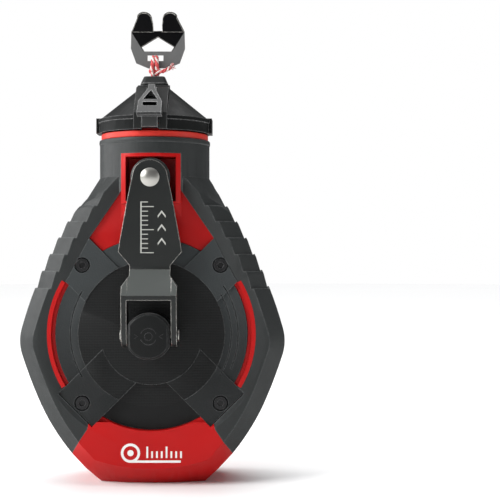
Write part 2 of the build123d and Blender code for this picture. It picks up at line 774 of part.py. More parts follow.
@piece
def crank_knob():
    """Tapered black knob, behind the plate while the crank is folded."""
    profile = Plane.XY * outline([
        (RIVET_R + RUN, -21.9), (7.2, -21.9), (7.6, -21.3), (7.3, -18.0), (5.9, -12.0),
        (5.2, -11.4), (2.8, -11.4), (2.8, -12.5), (RIVET_R + RUN, -12.5)])
    return Pos(0, 0, RIVET_Z) * revolve(profile, Axis.Y)


# ---------------------------------------------------------------- fill door
SKIRT_IN = 19.3          # inside of the door's skirt
SKIRT_OUT = 22.0
SKIRT_BOTTOM = 136.8
GUIDE_BASE = 156.7       # where the line guide's tip starts
NOSE_HALF = 5.4
COLUMN_HALF = 6.3
COLUMN_FRONT = -22.6


@piece
def neck_seal():
    """Red gasket ring round the neck under the fill door."""
    return disc(21.2, NECK_TOP + 0.05, 136.5) - disc(SPIGOT_R, 130, 140)


@piece
def door_hinge_pin():
    """Steel pin through the lugs and the door's knuckle."""
    return rod_x(*DOOR_HINGE, DOOR_PIN_R, -LUG_OUT, LUG_OUT)


@piece
def fill_door():
    """Black conical cap with a skirt, a front column, a squared nose and a knuckle."""
    cone = Plane.XZ * outline([
        (0, 156.6), (5.0, 156.6), (6.2, 154.9), (21.4, 142.6), (22.3, 142.3),
        (22.3, 140.8), (SKIRT_OUT, 140.8), (SKIRT_OUT, SKIRT_BOTTOM),
        (SKIRT_IN, SKIRT_BOTTOM), (SKIRT_IN, 141.0), (5.0, 152.4), (0, 152.4)])
    solid = revolve(cone, Axis.Z)
    nose = Pos(0, 0, 152.5) * RectangleRounded(2 * NOSE_HALF + 1, 2 * NOSE_HALF + 1, 2)
    tip = Pos(0, 0, GUIDE_BASE - 0.05) * RectangleRounded(2 * NOSE_HALF, 2 * NOSE_HALF, 2)
    solid += loft(Sketch() + [nose, tip])
    column = across([(-4, 156.0), (-12.0, 153.9), (COLUMN_FRONT, 143.2),
                     (COLUMN_FRONT, SKIRT_BOTTOM), (-20.6, SKIRT_BOTTOM), (-20.6, 141.0),
                     (-4, 152.4)], COLUMN_HALF)
    solid += column
    for side in (-1, 1):
        solid += Pos(side * 21.8, 0, 139.8) * Box(2.2, 9, 6.0)
    y, z = DOOR_HINGE
    knuckle = rod_x(y, z, 2.4, -6.2, 6.2)
    knuckle += across([(20.2, 136.9), (y, 136.9), (y, 141.4), (20.2, 142.3)], 6.2)
    solid += knuckle
    solid -= disc(SKIRT_IN, 130, SKIRT_BOTTOM + 0.1)
    for low, high in ((-10.8, -6.3), (6.3, 10.8)):
        solid -= rod_x(y, z, 2.7, low, high)
        solid -= between(low, high, across([(21.6, 134), (26, 134), (26, z), (21.6, z)], 12))
    solid -= rod_x(y, z, DOOR_PIN_R + RUN, -12, 12)
    solid -= disc(2.6, 150, GUIDE_BASE)
    py, pz = LATCH_PIVOT
    solid -= rod_x(py, pz, 3.3, -2.0, 2.0)
    solid -= rod_x(py, pz, LATCH_PIN_R, -5.0, 5.0)
    solid -= Pos(0, -22.5, 140.0) * Box(6.6, 6.4, 6.5)
    solid -= Pos(0, -20.0, 138.6) * Box(6.6, 2.6, 3.8)
    return solid


@piece
def line_guide():
    """Wear-resistant nose tip that the line runs through."""
    base = Pos(0, 0, GUIDE_BASE) * RectangleRounded(2 * NOSE_HALF, 2 * NOSE_HALF, 2)
    top = Pos(0, 0, NOSE_TOP) * RectangleRounded(8.2, 8.2, 1.6)
    solid = loft(Sketch() + [base, top]) + disc(2.6, 153.2, GUIDE_BASE + 0.5)
    return solid - disc(1.15, 150, 170)


@piece
def wiper_felt():
    """Felt ring in the nose that wipes loose chalk off the line."""
    return disc(2.6, 150.2, 153.15) - disc(LINE_R + RUN, 150, 154)


@piece
def latch_pin():
    """Pin that the door latch turns on."""
    return rod_x(*LATCH_PIVOT, LATCH_PIN_R, -5.0, 5.0)


CLAW_TIP = -18.55        # the latch's claw ends just off the spigot


@piece
def door_latch():
    """Lever on the door's front column, with a finger lip and a claw inside the skirt."""
    slope = [(-12.9, 153.2), (-22.9, 143.5), (-23.4, 142.0), (-23.4, 138.7), (CLAW_TIP, 138.7),
             (CLAW_TIP, 137.4), (-24.6, 137.4), (-25.0, 141.4), (-27.4, 141.6),
             (-27.4, 142.6), (-24.9, 145.3), (-14.6, 155.0)]
    half = [(1.3, 156.2), (1.3, 153.2), (4.5, 147.3), (4.7, 141.2)]
    front = outline([(-x, z) for x, z in half] + half[::-1])
    claw_front = Pos(0, 140) * Rectangle(6.0, 8)
    plate = across(slope, 8) & slab(front + claw_front, 0, -CLEAR)
    tongue = rod_x(*LATCH_PIVOT, 1.9, -1.7, 1.7)
    tongue += across([(-12.4, 154.0), (-12.2, 150.5), (-15.2, 150.3)], 1.7)
    solid = plate + tongue
    solid -= slab(outline([(0, 152.3), (2.7, 148.2), (-2.7, 148.2)]), -15.3, -CLEAR)
    solid -= slab(outline([(-2.7, 145.4), (2.7, 145.4), (2.7, 147.0), (-2.7, 147.0)]), -18.5, -CLEAR)
    return solid - rod_x(*LATCH_PIVOT, LATCH_PIN_R + RUN, -5, 5)


# ---------------------------------------------------------------- hook
HOOK_X = 1.2             # the hook hangs a little to one side of the line
BEND_Z = 178.2
PRONG_LEAN = 38          # degrees that the prongs lean forward


def hook_profile(points):
    """A mirrored outline about the hook's own centre line."""
    shape = outline([(-x, z) for x, z in points] + points[::-1])
    return Pos(HOOK_X, 0) * shape


@piece
def line_hook():
    """Black steel end hook: a windowed plate with two prongs bent forward."""
    plate = hook_profile([(10.6, BEND_Z), (10.8, 171.2), (8.7, 165.4), (4.0, 163.4)])
    plate -= hook_profile([(0, 175.8), (6.5, 171.8), (5.3, 170.0)])
    plate -= Pos(0.2, 167.4) * Rectangle(6.4, 2.4)
    solid = slab(plate, STEEL / 2, -STEEL / 2)
    rise = 1 / cos(radians(PRONG_LEAN))
    prongs = outline([(-10.6, -0.8), (10.6, -0.8), (10.6, 0), (7.9, 5.0 * rise),
                      (7.9, 9), (-7.9, 9), (-7.9, 5.0 * rise), (-10.6, 0)])
    prongs -= Pos(0, 1 + 5) * RectangleRounded(3.6, 10, 1.2)
    tops = Sketch()
    for side in (-1, 1):
        tops += Pos(side * 5.2, 4.4 * rise) * Circle(3.1)
        tops += outline([(side * 1.8, -0.8), (side * 10.6, -0.8), (side * 10.6, 0),
                         (side * 7.9, 5.6 * rise), (side * 2.4, 5.6 * rise), (side * 1.8, 3.4)])
    prongs = prongs & tops
    lean = radians(PRONG_LEAN)
    tilted = Plane(origin=(HOOK_X, STEEL / 2, BEND_Z), x_dir=(1, 0, 0),
                   z_dir=(0, -cos(lean), -sin(lean)))
    return solid + extrude(tilted * prongs, STEEL)


@piece
def line_knot():
    """Knotted end of the line: two loops through the hook's slot, a knot and a tail."""
    outer = RectangleRounded(2 * 2.4, 2 * 3.6, 2.2)
    inner = RectangleRounded(2 * 1.0, 2 * 2.2, 0.9)
    side = Plane(origin=(0, 0, 164.9), x_dir=(0, 1, 0), z_dir=(1, 0, 0))
    loop = extrude(side * (outer - inner), 0.7, both=True)
    solid = Pos(-0.85, 0, 0) * loop + Pos(0.85, 0, 0) * loop
    solid += Pos(0, 0, 161.5) * Sphere(1.7)
    solid += tube((0.8, -1.2, 162.2), (7.2, -2.6, 164.6), LINE_R)
    return solid - disc(LINE_R, 150, 161.0)


# ---------------------------------------------------------------- write the pieces
os.makedirs("parts", exist_ok=True)
for name, shape in PARTS.items():
    export_step(shape, f"parts/{name}.step")
    print(f"{name}: {len(shape.solids())} solid(s), {shape.volume:.1f} mm3")
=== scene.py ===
"""Looks of the chalk line reel: pieces, finishes, floor, light and camera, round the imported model."""

import math

import bmesh
import bpy
import numpy as np
from mathutils import Euler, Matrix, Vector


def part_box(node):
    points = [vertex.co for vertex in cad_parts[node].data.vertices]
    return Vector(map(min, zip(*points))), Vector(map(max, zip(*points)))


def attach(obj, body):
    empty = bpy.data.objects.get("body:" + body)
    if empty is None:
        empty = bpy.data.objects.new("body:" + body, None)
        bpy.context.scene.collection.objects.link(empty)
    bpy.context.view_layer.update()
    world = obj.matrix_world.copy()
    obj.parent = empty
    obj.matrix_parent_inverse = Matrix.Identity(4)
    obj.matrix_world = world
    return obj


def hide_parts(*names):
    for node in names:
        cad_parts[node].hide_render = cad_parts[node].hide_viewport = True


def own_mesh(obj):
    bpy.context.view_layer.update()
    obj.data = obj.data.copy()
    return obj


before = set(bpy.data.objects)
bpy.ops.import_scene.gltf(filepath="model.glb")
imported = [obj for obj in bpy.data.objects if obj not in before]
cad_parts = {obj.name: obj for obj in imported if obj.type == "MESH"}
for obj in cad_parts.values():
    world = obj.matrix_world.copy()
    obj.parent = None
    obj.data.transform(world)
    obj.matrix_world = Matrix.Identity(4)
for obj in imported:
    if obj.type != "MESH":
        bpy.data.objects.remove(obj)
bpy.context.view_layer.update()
MM = 0.001


# ================================================================ camera
# A long lens in front of the reel, a little to its right and level with the top of its belly.
camera_data = bpy.data.cameras.new("camera")
camera_data.lens = 81
camera_data.sensor_width = 36
camera = bpy.data.objects.new("camera", camera_data)
camera.location = (38 * MM, -450 * MM, 90.7 * MM)
camera.rotation_euler = Euler((math.radians(90), 0, 0))
bpy.context.scene.collection.objects.link(camera)
bpy.context.scene.camera = camera
bpy.context.scene.view_settings.view_transform = "Standard"


# ================================================================ floor and studio light
# A pale matt table top that runs far back under a wide soft ceiling light. Soft boxes stand at the
# front left, at the right and behind on the left, in a white room.
SHARP_EDGE = math.radians(40)


def shaped(name, points, faces, smooth=True):
    """A piece from its points and faces, turned outwards and smoothed, but for sharp edges."""
    mesh = bpy.data.meshes.new(name)
    mesh.from_pydata((np.asarray(points) * MM).tolist(), [], faces)
    work = bmesh.new()
    work.from_mesh(mesh)
    bmesh.ops.recalc_face_normals(work, faces=work.faces)
    work.to_mesh(mesh)
    work.free()
    if smooth:
        mesh.shade_smooth()
        mesh.set_sharp_from_angle(angle=SHARP_EDGE)
    piece = bpy.data.objects.new(name, mesh)
    bpy.context.scene.collection.objects.link(piece)
    return piece


def grid_faces(rows, columns, start=0, close_rows=False, close_columns=False):
    """Quads between neighbouring points of a grid, whose rows or columns may join up end to end."""
    row = np.arange(rows if close_rows else rows - 1)[:, None]
    column = np.arange(columns if close_columns else columns - 1)[None, :]
    next_row = (row + 1) % rows
    next_column = (column + 1) % columns
    corners = [row * columns + column, row * columns + next_column,
               next_row * columns + next_column, next_row * columns + column]
    return (np.stack(corners, axis=-1).reshape(-1, 4) + start).tolist()


FLOOR_R = 2600
FLOOR_TOP = -0.05
angle = np.linspace(0, 2 * np.pi, 96, endpoint=False)
reach = FLOOR_R * np.linspace(0.02, 1, 12) ** 2
floor_points = np.stack([
    reach[:, None] * np.cos(angle), reach[:, None] * np.sin(angle),
    np.full((len(reach), len(angle)), FLOOR_TOP)], axis=-1).reshape(-1, 3)
floor_faces = grid_faces(len(reach), len(angle), close_columns=True)
floor_faces.append(list(range(len(angle))))
floor = shaped("floor", floor_points, floor_faces)


def shader_nodes(material_name):
    """A new material, its node tree and its Principled shader."""
    material = bpy.data.materials.new(material_name)
    material.use_nodes = True
    return material, material.node_tree, material.node_tree.nodes["Principled BSDF"]


floor_paint, tree, shader = shader_nodes("table_top")
mottle = tree.nodes.new("ShaderNodeTexNoise")
mottle.inputs["Scale"].default_value = 9
mottle_range = tree.nodes.new("ShaderNodeMapRange")
mottle_range.inputs["To Min"].default_value = 0.62
mottle_range.inputs["To Max"].default_value = 0.72
tree.links.new(mottle.outputs["Fac"], mottle_range.inputs["Value"])
tree.links.new(mottle_range.outputs["Result"], shader.inputs["Roughness"])
shader.inputs["Base Color"].default_value = (0.90, 0.90, 0.90, 1)
floor.data.materials.append(floor_paint)


def aim(light, place, target):
    """Put a light at a place and turn it to face a target."""
    toward = np.asarray(target, float) - place
    pitch = math.atan2(toward[2], math.hypot(toward[0], toward[1]))
    heading = math.atan2(toward[1], toward[0])
    light.location = place
    light.rotation_euler = Euler((math.pi / 2 + pitch, 0, heading - math.pi / 2))
    bpy.context.scene.collection.objects.link(light)


REEL_MIDDLE = (0, 0, 90 * MM)


def soft_box(name, place, size, power):
    """A square area light that faces the middle of the reel."""
    data = bpy.data.lights.new(name, "AREA")
    data.shape = "SQUARE"
    data.size = size
    data.energy = power
    aim(bpy.data.objects.new(name, data), np.array(place), REEL_MIDDLE)


soft_box("key_box", (-0.85, -0.42, 0.62), 0.5, 13.0)
soft_box("fill_box", (0.95, -0.30, 0.30), 0.4, 1.0)
soft_box("rim_box", (-0.9, 0.25, 0.3), 0.4, 3.0)
ceiling = bpy.data.lights.new("ceiling", "SUN")
ceiling.energy = 3.15
ceiling.angle = math.radians(60)
aim(bpy.data.objects.new("ceiling", ceiling), np.array([0.0, 0.25, 1.0]), (0, 0, 0))

world = bpy.data.worlds.new("surround")
world.use_nodes = True
bpy.context.scene.world = world
sky = world.node_tree
seen = sky.nodes["Background"]
seen.inputs["Color"].default_value = (1, 1, 1, 1)
room_light = sky.nodes.new("ShaderNodeBackground")
room_light.inputs["Color"].default_value = (0.95, 0.97, 1, 1)
room_light.inputs["Strength"].default_value = 0.15
ray = sky.nodes.new("ShaderNodeLightPath")
choose = sky.nodes.new("ShaderNodeMixShader")
sky.links.new(ray.outputs["Is Camera Ray"], choose.inputs["Fac"])
sky.links.new(room_light.outputs[0], choose.inputs[1])
sky.links.new(seen.outputs[0], choose.inputs[2])
sky.links.new(choose.outputs[0], sky.nodes["World Output"].inputs["Surface"])


# ================================================================ chalk line
# Polyester line of three strands laid together, two red and one white. It comes off the spool,
# runs up through the neck and the fill door, and is knotted through the hook's slot.
LINE_R = 0.8
STRAND_R = 0.43
STRAND_OFF = 0.42        # from the middle of the line to the middle of a strand
LAY = 4.2                # length of line in which a strand turns once
THROAT = (0, 0, 121.5)
KNOT_Z = 161.5


def strand_grid(route, beside, strand_r, lay_r=0.0, phase=0.0, lay=LAY, around=10):
    """Round strand that winds about a route: its centre is the route plus lay_r in a direction that
    turns once in each lay length, and a ring of points of radius strand_r is set about it."""
    ahead = np.gradient(route, axis=0)
    length = np.concatenate([[0], np.cumsum(np.linalg.norm(np.diff(route, axis=0), axis=1))])
    ahead /= np.linalg.norm(ahead, axis=1, keepdims=True)
    side = np.cross(ahead, beside)
    side /= np.linalg.norm(side, axis=1, keepdims=True)
    up = np.cross(side, ahead)
    turn = (phase + 2 * np.pi * length / lay)[:, None]
    centre = route + lay_r * (np.cos(turn) * side + np.sin(turn) * up)
    ring = np.linspace(0, 2 * np.pi, around, endpoint=False)[None, :, None]
    return centre[:, None] + strand_r * (np.cos(ring) * side[:, None] + np.sin(ring) * up[:, None])


def tubes(name, grids, tints=None):
    """One piece from several round strands, with closed ends and a tint number for each strand."""
    points, faces, tint = [], [], []
    start = 0
    for number, grid in enumerate(grids):
        rows, columns = grid.shape[:2]
        points.append(grid.reshape(-1, 3))
        faces += grid_faces(rows, columns, start, close_columns=True)
        faces.append(list(range(start, start + columns)))
        faces.append(list(range(start + (rows - 1) * columns, start + rows * columns)))
        tint.append(np.full(rows * columns, tints[number] if tints else 0.0))
        start += rows * columns
    piece = shaped(name, np.concatenate(points), faces)
    layer = piece.data.attributes.new("tint", "FLOAT", "POINT")
    layer.data.foreach_set("value", np.concatenate(tint).astype(np.float32))
    return piece


def laid_line(route, beside, radius=LINE_R):
    """The three strands of the line along a route, thinner where the line is squeezed."""
    share = radius / LINE_R
    third = 2 * np.pi / 3
    return [strand_grid(route, beside, STRAND_R * share, STRAND_OFF * share, third * strand, LAY * share)
            for strand in range(3)]


def straight(start, end, steps):
    """Evenly spaced points from one point to another."""
    return np.linspace(start, end, steps)


def group_tree(name, inputs, outputs):
    """An empty shader group with named number inputs and outputs."""
    group = bpy.data.node_groups.new(name, "ShaderNodeTree")
    for label, value in inputs:
        socket = group.interface.new_socket(label, in_out="INPUT", socket_type="NodeSocketFloat")
        socket.default_value = value
    for label in outputs:
        group.interface.new_socket(label, in_out="OUTPUT", socket_type="NodeSocketFloat")
    return group, group.nodes.new("NodeGroupInput"), group.nodes.new("NodeGroupOutput")


def add(tree, kind, **values):
    """A node with some of its input sockets set by name."""
    node = tree.nodes.new(kind)
    for label, value in values.items():
        node.inputs[label.replace("_", " ")].default_value = value
    return node


def grain_group():
    """Moulded grain: fine noise in Height, slow drift in Tone and finger marks in Smudge, all set
    out on Object coordinates."""
    group, given, result = group_tree("moulded_grain", [("Scale", 2500.0)],
                                      ["Height", "Tone", "Smudge"])
    place = group.nodes.new("ShaderNodeTexCoord")
    fine = add(group, "ShaderNodeTexNoise", Detail=3.0, Roughness=0.6)
    slow = add(group, "ShaderNodeTexNoise", Scale=70.0, Detail=2.0)
    smear = add(group, "ShaderNodeTexNoise", Scale=190.0, Detail=4.0, Roughness=0.7)
    for noise in (fine, slow, smear):
        group.links.new(place.outputs["Object"], noise.inputs["Vector"])
    group.links.new(given.outputs["Scale"], fine.inputs["Scale"])
    group.links.new(fine.outputs["Fac"], result.inputs["Height"])
    group.links.new(slow.outputs["Fac"], result.inputs["Tone"])
    group.links.new(smear.outputs["Fac"], result.inputs["Smudge"])
    return group


def math_node(tree, operation, first, second=None):
    """The result of a sum on fixed numbers or other nodes' outputs."""
    node = tree.nodes.new("ShaderNodeMath")
    node.operation = operation
    for socket, value in zip(node.inputs, (first, second)):
        if isinstance(value, float):
            socket.default_value = value
        elif value is not None:
            tree.links.new(value, socket)
    return node.outputs[0]


def edge_group():
    """Rubbed edges that are partly wear and partly a painted highlight: how far a normal rounded over
    Width turns from the true one, cut by noise.
    """
    group, given, result = group_tree("rubbed_sheen_edges", [("Width", 0.0003)], ["Mask"])
    rounded = group.nodes.new("ShaderNodeBevel")
    rounded.samples = 4
    true = group.nodes.new("ShaderNodeNewGeometry")
    agree = group.nodes.new("ShaderNodeVectorMath")
    agree.operation = "DOT_PRODUCT"
    rub_sheen = add(group, "ShaderNodeMapRange", From_Min=0.998, From_Max=0.90)
    place = group.nodes.new("ShaderNodeTexCoord")
    broken = add(group, "ShaderNodeTexNoise", Scale=900.0, Detail=3.0)
    patchy = add(group, "ShaderNodeMapRange", From_Min=0.35, From_Max=0.6, To_Min=0.35)
    group.links.new(given.outputs["Width"], rounded.inputs["Radius"])
    group.links.new(rounded.outputs["Normal"], agree.inputs[0])
    group.links.new(true.outputs["Normal"], agree.inputs[1])
    group.links.new(agree.outputs["Value"], rub_sheen.inputs["Value"])
    group.links.new(place.outputs["Object"], broken.inputs["Vector"])
    group.links.new(broken.outputs["Fac"], patchy.inputs["Value"])
    both = math_node(group, "MULTIPLY", rub_sheen.outputs["Result"], patchy.outputs["Result"])
    group.links.new(both, result.inputs["Mask"])
    return group


GRAIN = grain_group()
EDGES = edge_group()


def use_group(tree, group, **values):
    """A shader group placed in a material with its own input values."""
    node = tree.nodes.new("ShaderNodeGroup")
    node.node_tree = group
    for label, value in values.items():
        node.inputs[label].default_value = value
    return node


def blend_colours(tree, first, second, factor):
    """Mix two colours, each a fixed one or another node's output."""
    mix = tree.nodes.new("ShaderNodeMix")
    mix.data_type = "RGBA"
    for socket, colour in ((mix.inputs[6], first), (mix.inputs[7], second)):
        if isinstance(colour, tuple):
            socket.default_value = (*colour, 1)
        else:
            tree.links.new(colour, socket)
    tree.links.new(factor, mix.inputs[0])
    return mix.outputs[2]


def roughness_from(tree, shader, value, low, high):
    """Roughness that wanders between two limits with a value."""
    spread = add(tree, "ShaderNodeMapRange", From_Min=0.3, From_Max=0.7, To_Min=low, To_Max=high)
    tree.links.new(value, spread.inputs["Value"])
    tree.links.new(spread.outputs["Result"], shader.inputs["Roughness"])


def bumped(tree, shader, height, depth):
    """Raise the surface by a height, whose full step is depth in metres."""
    bump = add(tree, "ShaderNodeBump", Strength=1.0, Distance=depth)
    tree.links.new(height, bump.inputs["Height"])
    tree.links.new(bump.outputs["Normal"], shader.inputs["Normal"])


def moulded(name, dark, light, rough, grain=2500.0, depth=0.00003, rubbed_sheen=None, rub_sheen=0.5,
            width=0.0003, metal=0.0, shine=0.5):
    """A finish with drifting colour, smudged gloss and fine grain. The rubbed colour, if one is
    given, shows on edges, partly as wear and partly as a painted highlight."""
    material, tree, shader = shader_nodes(name)
    texture = use_group(tree, GRAIN, Scale=grain)
    colour = blend_colours(tree, dark, light, texture.outputs["Tone"])
    # Edges lighten towards the rubbed colour: partly wear, partly a painted edge highlight.
    if rubbed_sheen:
        edges = use_group(tree, EDGES, Width=width)
        worn = math_node(tree, "MULTIPLY", edges.outputs["Mask"], rub_sheen)
        colour = blend_colours(tree, colour, rubbed_sheen, worn)
    tree.links.new(colour, shader.inputs["Base Color"])
    roughness_from(tree, shader, texture.outputs["Smudge"], rough - 0.05, rough + 0.07)
    bumped(tree, shader, texture.outputs["Height"], depth)
    shader.inputs["Metallic"].default_value = metal
    shader.inputs["Specular IOR Level"].default_value = shine
    return material


def yarn_finish():
    """Red and white polyester, chosen by each strand's tint, with fibre streaks and a sheen."""
    material, tree, shader = shader_nodes("line_yarn")
    texture = use_group(tree, GRAIN, Scale=5200.0)
    tint = tree.nodes.new("ShaderNodeAttribute")
    tint.attribute_name = "tint"
    colour = blend_colours(tree, (0.62, 0.02, 0.03), (0.86, 0.82, 0.78), tint.outputs["Fac"])
    worn = math_node(tree, "MULTIPLY", texture.outputs["Height"], 0.35)
    chalky = blend_colours(tree, colour, (0.75, 0.25, 0.22), worn)
    tree.links.new(chalky, shader.inputs["Base Color"])
    roughness_from(tree, shader, texture.outputs["Smudge"], 0.6, 0.8)
    bumped(tree, shader, texture.outputs["Height"], 0.00008)
    shader.inputs["Sheen Weight"].default_value = 0.4
    return material


YARN = yarn_finish()


def finish_piece(piece, material, body, slot, *nodes):
    """Paint a piece and fix it to its body in place of the nodes it stands for."""
    piece.data.materials.clear()
    piece.data.materials.append(material)
    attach(piece, body)
    if nodes:
        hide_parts(*nodes)


ACROSS = np.array([1.0, 0, 0])
DEPTH = np.array([0, 1.0, 0])
UPWARD = np.array([0, 0, 1.0])
RED_RED_WHITE = [0, 0, 1]
LEAD_TOP = (0, 0, 161.0)
lead = laid_line(straight(THROAT, LEAD_TOP, 150), DEPTH)
finish_piece(tubes("line_through_neck", lead, RED_RED_WHITE), YARN, "hook", "line_yarn", "line_lead")

RUN_INSET = 0.75         # from the side of the run's box to the middle of the line
run_low, run_high = (np.array(corner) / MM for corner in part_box("line_run"))
run_end = (run_low[0] + RUN_INSET, 0.0, run_high[2] - 0.15)
run_start = (run_high[0] - RUN_INSET, run_high[1] - LINE_R, run_low[2] + 0.3)
run = laid_line(straight(run_end, run_start, 160), DEPTH)
finish_piece(tubes("line_off_spool", run, RED_RED_WHITE), YARN, "housing", "line_yarn", "line_run")

KNOT_SCALE = 0.66        # size of the overhand knot's trefoil curve
KNOT_LINE_R = 0.70       # the line is squeezed in the knot, and a little less in the tail
TAIL_LINE_R = 0.76
EYE_MIDDLE = 164.9       # height of the two loops through the hook's slot
EYE_TALL = 2.8           # half of a loop's height, and of its depth through the plate
EYE_DEEP = 1.62
FRAYED = 22              # loose hairs at the end of the tail
HAIR_R = 0.11

way = np.linspace(0, 2 * np.pi, 110)
trefoil = np.stack([np.sin(way) + 2 * np.sin(2 * way), -1.1 * np.sin(3 * way),
                    np.cos(way) - 2 * np.cos(2 * way)], axis=-1)
overhand = KNOT_SCALE * trefoil + (0, 0, KNOT_Z)
knot_strands = laid_line(overhand, DEPTH, KNOT_LINE_R)
knot_tints = list(RED_RED_WHITE)
for middle, lean in ((-0.85, 0.25), (0.85, -0.2)):
    deep = EYE_DEEP * np.sign(np.cos(way)) * np.abs(np.cos(way)) ** 0.7
    eye = np.stack([middle + lean * np.sin(way), deep, EYE_MIDDLE + EYE_TALL * np.sin(way)], axis=-1)
    knot_strands += laid_line(eye, ACROSS)
    knot_tints += RED_RED_WHITE
along = np.linspace(0, 1, 60)[:, None]
tail_start = np.array([0.6, -1.2, 161.9])
tail_reach = (5.6, -1.2, 1.3)
tail_sag = (0, -0.3, -0.7)
tail = tail_start + along * tail_reach + np.sin(np.pi * along) * tail_sag
knot_strands += laid_line(tail, UPWARD, TAIL_LINE_R)
knot_tints += RED_RED_WHITE
fray = np.random.default_rng(7)
along = np.linspace(0, 1, 9)[:, None]
for number in range(FRAYED):
    bend = fray.uniform((0.9, -0.6, -0.6), (2.4, 0.7, 2.2))
    root = tail[-3] + fray.uniform(-0.35, 0.35, 3)
    droop = along ** 2 * (0, 0.2, 0.6 * bend[2])
    hair = root + along * (bend[0], bend[1], 0.4 * bend[2]) + droop
    knot_strands.append(strand_grid(hair, UPWARD, HAIR_R, around=6))
    knot_tints.append(float(number % 2))
knot = tubes("line_end", knot_strands, knot_tints)
finish_piece(knot, YARN, "hook", "line_yarn", "line_knot")


# ================================================================ housing shells
# Two red ABS halves screwed together from behind. The foot is polished and has a white mark printed
# on it. The shoulders and the surround of the knob pocket show through the rubber, and a red trim
# runs up each side of the cover.
AXIS = (0, 0, 58.3)      # a point on the spool and crank axis
MERGE = 1e-6             # metres: points as near as this are one
FLAT = math.radians(0.5)


def eased(node, edge, rounds=2, sharp=32):
    """A copy of a CAD node with its points merged, flat faces joined and sharp edges rounded."""
    work = bmesh.new()
    work.from_mesh(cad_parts[node].data)
    bmesh.ops.remove_doubles(work, verts=work.verts, dist=MERGE)
    bmesh.ops.dissolve_limit(work, angle_limit=FLAT, verts=work.verts, edges=work.edges)
    mesh = bpy.data.meshes.new(node + "_eased")
    work.to_mesh(mesh)
    work.free()
    mesh.shade_smooth()
    mesh.set_sharp_from_angle(angle=math.radians(sharp))
    piece = bpy.data.objects.new(node + "_eased", mesh)
    bpy.context.scene.collection.objects.link(piece)
    bevel = piece.modifiers.new("rounded_edges", "BEVEL")
    bevel.width = edge * MM
    bevel.segments = rounds
    bevel.limit_method = "ANGLE"
    bevel.angle_limit = math.radians(sharp)
    bevel.harden_normals = True
    return piece


def dress(node, material):
    """Give a CAD node that is shown as it is its finish."""
    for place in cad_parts[node].material_slots:
        place.material = material


RED = moulded("red_abs", (0.41, 0.004, 0.004), (0.48, 0.006, 0.006), 0.40, grain=700,
              depth=0.000004, shine=0.18)
finish_piece(eased("front_shell", 0.3), RED, "housing", "red_plastic", "front_shell")
finish_piece(eased("rear_shell", 0.3), RED, "housing", "red_plastic", "rear_shell")


def flat_shape(outline, front, back):
    """A thin plate with an outline of (x, z) points: its points and faces."""
    outline = np.asarray(outline, float)
    count = len(outline)
    rims = [np.column_stack([outline[:, 0], np.full(count, depth), outline[:, 1]])
            for depth in (front, back)]
    faces = grid_faces(2, count, close_columns=True)
    faces += [list(range(count)), list(range(2 * count - 1, count - 1, -1))]
    return np.concatenate(rims), faces


def ring_shape(centre, inner, outer, front, back, start=0.0, end=360.0):
    """A thin flat ring, or an arc of one with square ends."""
    turn = np.radians(np.linspace(start, end, 73))
    way = np.column_stack([np.cos(turn), np.sin(turn)])
    centre = np.asarray(centre, float)
    edges = np.concatenate([centre + outer * way, (centre + inner * way)[::-1]])
    return flat_shape(edges, front, back)


def plates(name, shapes):
    """Several thin plates as one printed or etched mark."""
    points, faces = [], []
    start = 0
    for shape_points, shape_faces in shapes:
        points.append(shape_points)
        faces += [[corner + start for corner in face] for face in shape_faces]
        start += len(shape_points)
    return shaped(name, np.concatenate(points), faces, smooth=False)


def bar(left, low, right, high):
    """Corners of an upright rectangle."""
    return [(left, low), (right, low), (right, high), (left, high)]


FOOT_FACE = -18.0
MARK_X = -7.9            # middle of the printed reel
MARK_Z = 12.7
TICKS = 8
TICK_FIRST = -1.8
TICK_STEP = 1.85
TICK_WIDE = 0.7
ink_front, ink_back = FOOT_FACE - 0.04, FOOT_FACE + 0.05
foot_mark = [
    ring_shape((MARK_X, MARK_Z), 2.7, 3.7, ink_front, ink_back),
    ring_shape((MARK_X, MARK_Z), 0.05, 1.2, ink_front, ink_back),
    flat_shape(bar(MARK_X, MARK_Z - 3.7, 11.4, MARK_Z - 2.8), ink_front + 0.01, ink_back),
]
for number in range(TICKS):
    tall = 4.4 if number % 4 == 0 else 2.6
    left = TICK_FIRST + TICK_STEP * number
    low = MARK_Z - 1.9
    foot_mark.append(flat_shape(bar(left, low, left + TICK_WIDE, low + tall), ink_front, ink_back))
INK = moulded("white_print", (0.80, 0.79, 0.77), (0.88, 0.87, 0.85), 0.42, grain=3000,
              depth=0.00001)
finish_piece(plates("foot_mark", foot_mark), INK, "housing", "red_plastic")

TRIM_R = (38.6, 40.2)    # inner and outer radius of the side trim
TRIM_FRONT = -17.05
TRIM_THICK = 0.8
TRIM_HALF_TURN = 31      # degrees up and down from level
side_trim = [ring_shape((0, AXIS[2]), *TRIM_R, TRIM_FRONT, TRIM_FRONT + TRIM_THICK,
                        middle - TRIM_HALF_TURN, middle + TRIM_HALF_TURN) for middle in (0, 180)]
finish_piece(plates("side_trim", side_trim), RED, "housing", "red_plastic")


# ================================================================ rubber grips
# Black thermoplastic rubber moulded over both halves. It wraps the round neck, and its shoulders
# carry saw-tooth ribs. A thin lip is rolled outward at the top of the neck.
RUBBER = moulded("black_rubber", (0.013, 0.015, 0.015), (0.020, 0.023, 0.023), 0.52, grain=2300,
                 depth=0.00006, rubbed_sheen=(0.10, 0.105, 0.105), rub_sheen=0.8, width=0.0008, shine=0.36)
finish_piece(eased("front_grip", 0.45, 3), RUBBER, "housing", "black_rubber", "front_grip")
finish_piece(eased("rear_grip", 0.45, 3), RUBBER, "housing", "black_rubber", "rear_grip")


